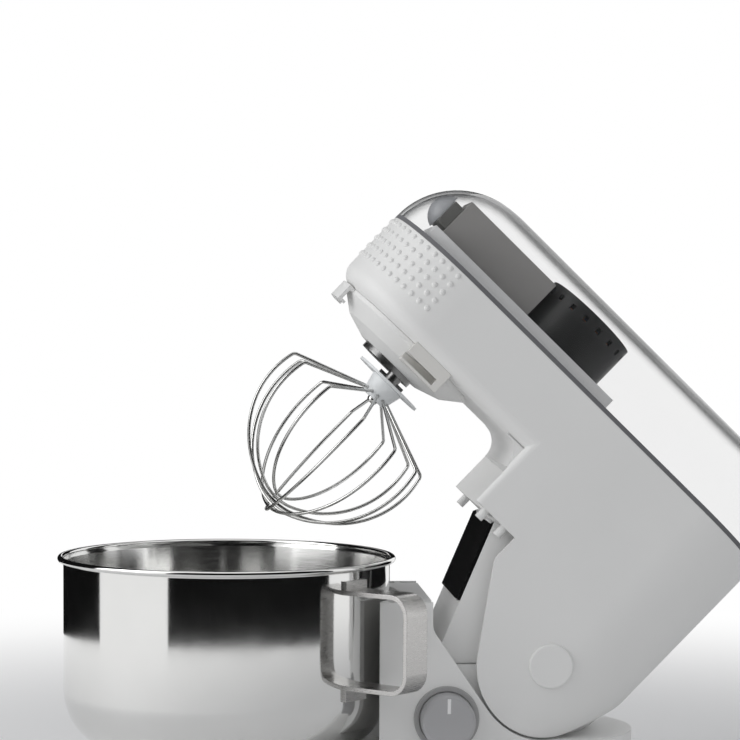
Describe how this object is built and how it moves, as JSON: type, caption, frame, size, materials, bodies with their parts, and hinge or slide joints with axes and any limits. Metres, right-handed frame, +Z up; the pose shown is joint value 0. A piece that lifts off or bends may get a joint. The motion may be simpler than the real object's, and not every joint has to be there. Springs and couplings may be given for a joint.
{
  "type": "stand mixer",
  "caption": "Tilt-head stand mixer with a pill-shaped head under a clear cover, planetary wire whisk, leaning column and twist-lock steel bowl with a strap handle.",
  "frame": {"origin": "middle of the object's outline on the surface it stands on, with the head tilted up", "axes": "+Z up, -Y towards the bowl, +X towards the side with the speed knob"},
  "size_m": [0.2339, 0.4982, 0.4187],
  "materials": {
    "white_shell": "soft-touch white moulding",
    "white_rail": "off-white moulding",
    "clear_plastic": "clear moulded plastic",
    "dark_seal": "dark grey seal",
    "mirror_plate": "mirror finish",
    "polished_steel": "polished outside, satin inside",
    "brushed_handle": "brushed",
    "wire_steel": "drawn wire",
    "white_hub": "white moulding",
    "machined_steel": "turned",
    "gear_steel": "hobbed",
    "bronze": "sintered",
    "copper": "enamelled wire",
    "laminated_iron": "stacked sheet",
    "tray_grey": "light grey moulding",
    "casing_grey": "warm grey moulding",
    "dark_grey": "dark grey moulding",
    "cap_grey": "grey paint",
    "black_plastic": "black moulding",
    "socket_grey": "grey moulding",
    "zinc_steel": "zinc plated",
    "knob_grey": "grey moulding",
    "knob_mark": "white inlay",
    "foot_rubber": "moulded rubber",
    "board_green": "coated board"
  },
  "bodies": {
    "stand": {"stand_shell": "white_shell", "base_plate": "black_plastic", "rubber_feet": "foot_rubber", "base_screws": "zinc_steel", "column_plate": "mirror_plate", "hinge_pin": "machined_steel", "bowl_socket": "socket_grey", "knob_bezel": "socket_grey", "speed_switch": "black_plastic", "control_board": "board_green", "cord_inlet": "black_plastic", "latch_guide": "black_plastic", "latch_spring": "zinc_steel"},
    "latch": {"latch_bolt": "zinc_steel", "release_button": "white_shell"},
    "knob": {"speed_knob": "knob_grey", "knob_pointer": "knob_mark"},
    "bowl": {"bowl": "polished_steel", "bowl_foot": "polished_steel", "bowl_handle": "brushed_handle"},
    "head": {"head_shell": "white_shell", "clear_cover": "clear_plastic", "cover_seal": "dark_seal", "neck_pegs": "white_shell", "hinge_bushes": "bronze", "hinge_caps": "white_shell", "latch_sector": "zinc_steel", "planetary_collar": "white_shell", "guard_lip": "white_shell", "guard_rails": "white_rail", "chassis_tray": "tray_grey", "tray_screws": "zinc_steel", "bearing_plate": "casing_grey", "gearbox_casing": "casing_grey", "shaft_bushes": "bronze", "end_plate": "dark_grey", "bearing_cap": "cap_grey", "ring_gear": "gear_steel", "motor_stator": "laminated_iron", "field_coils": "copper", "brush_holders": "black_plastic", "motor_case": "black_plastic"},
    "rotor": {"motor_shaft": "machined_steel", "rotor_core": "laminated_iron", "commutator": "bronze", "motor_fan": "black_plastic", "motor_pinion": "gear_steel"},
    "layshaft": {"layshaft": "machined_steel", "layshaft_gear": "gear_steel", "layshaft_pinion": "gear_steel"},
    "carrier": {"carrier_disc": "machined_steel", "carrier_shaft": "machined_steel", "drive_gear": "gear_steel"},
    "planet": {"planet_gear": "gear_steel", "spindle": "machined_steel", "cross_pin": "machined_steel", "whisk_flange": "white_hub", "whisk_hub": "white_hub", "whisk_wires": "wire_steel", "hub_screw": "wire_steel"}
  },
  "joints": [
    {"name": "head_tilt", "type": "hinge", "parent": "stand", "child": "head", "pos_m": [0, 0.08286, 0.099], "axis": [1, 0, 0], "range_deg": [0, 44]},
    {"name": "bowl_twist", "type": "hinge", "parent": "stand", "child": "bowl", "pos_m": [0, -0.13314, 0.032], "axis": [0, 0, -1], "range_deg": [0, 30]},
    {"name": "knob_turn", "type": "hinge", "parent": "stand", "child": "knob", "pos_m": [0.066, 0.01286, 0.064], "axis": [-1, 0, 0], "range_deg": [0, 270]},
    {"name": "button_press", "type": "slide", "parent": "stand", "child": "latch", "axis": [0, 0, -1], "range_m": [0, 0.004], "stiffness_N_per_m": 600, "deforming": ["latch_spring"]},
    {"name": "carrier_spin", "type": "hinge", "parent": "head", "child": "carrier", "pos_m": [0, -0.02528, 0.29796], "axis": [0, 0.6947, 0.7193], "continuous": true},
    {"name": "planet_spin", "type": "hinge", "parent": "carrier", "child": "planet", "pos_m": [0.00887, -0.01844, 0.29136], "axis": [0, 0.6947, 0.7193], "continuous": true},
    {"name": "layshaft_spin", "type": "hinge", "parent": "head", "child": "layshaft", "pos_m": [0, 0.03745, 0.30606], "axis": [0, 0.6947, 0.7193], "continuous": true},
    {"name": "rotor_spin", "type": "hinge", "parent": "head", "child": "rotor", "pos_m": [0, 0.06586, 0.27862], "axis": [0, 0.6947, 0.7193], "continuous": true}
  ],
  "couplings": [
    {"joint": "planet_spin", "follows": "carrier_spin", "ratio": -2.8571},
    {"joint": "layshaft_spin", "follows": "carrier_spin", "ratio": -5.0769},
    {"joint": "rotor_spin", "follows": "carrier_spin", "ratio": 25.775}
  ]
}
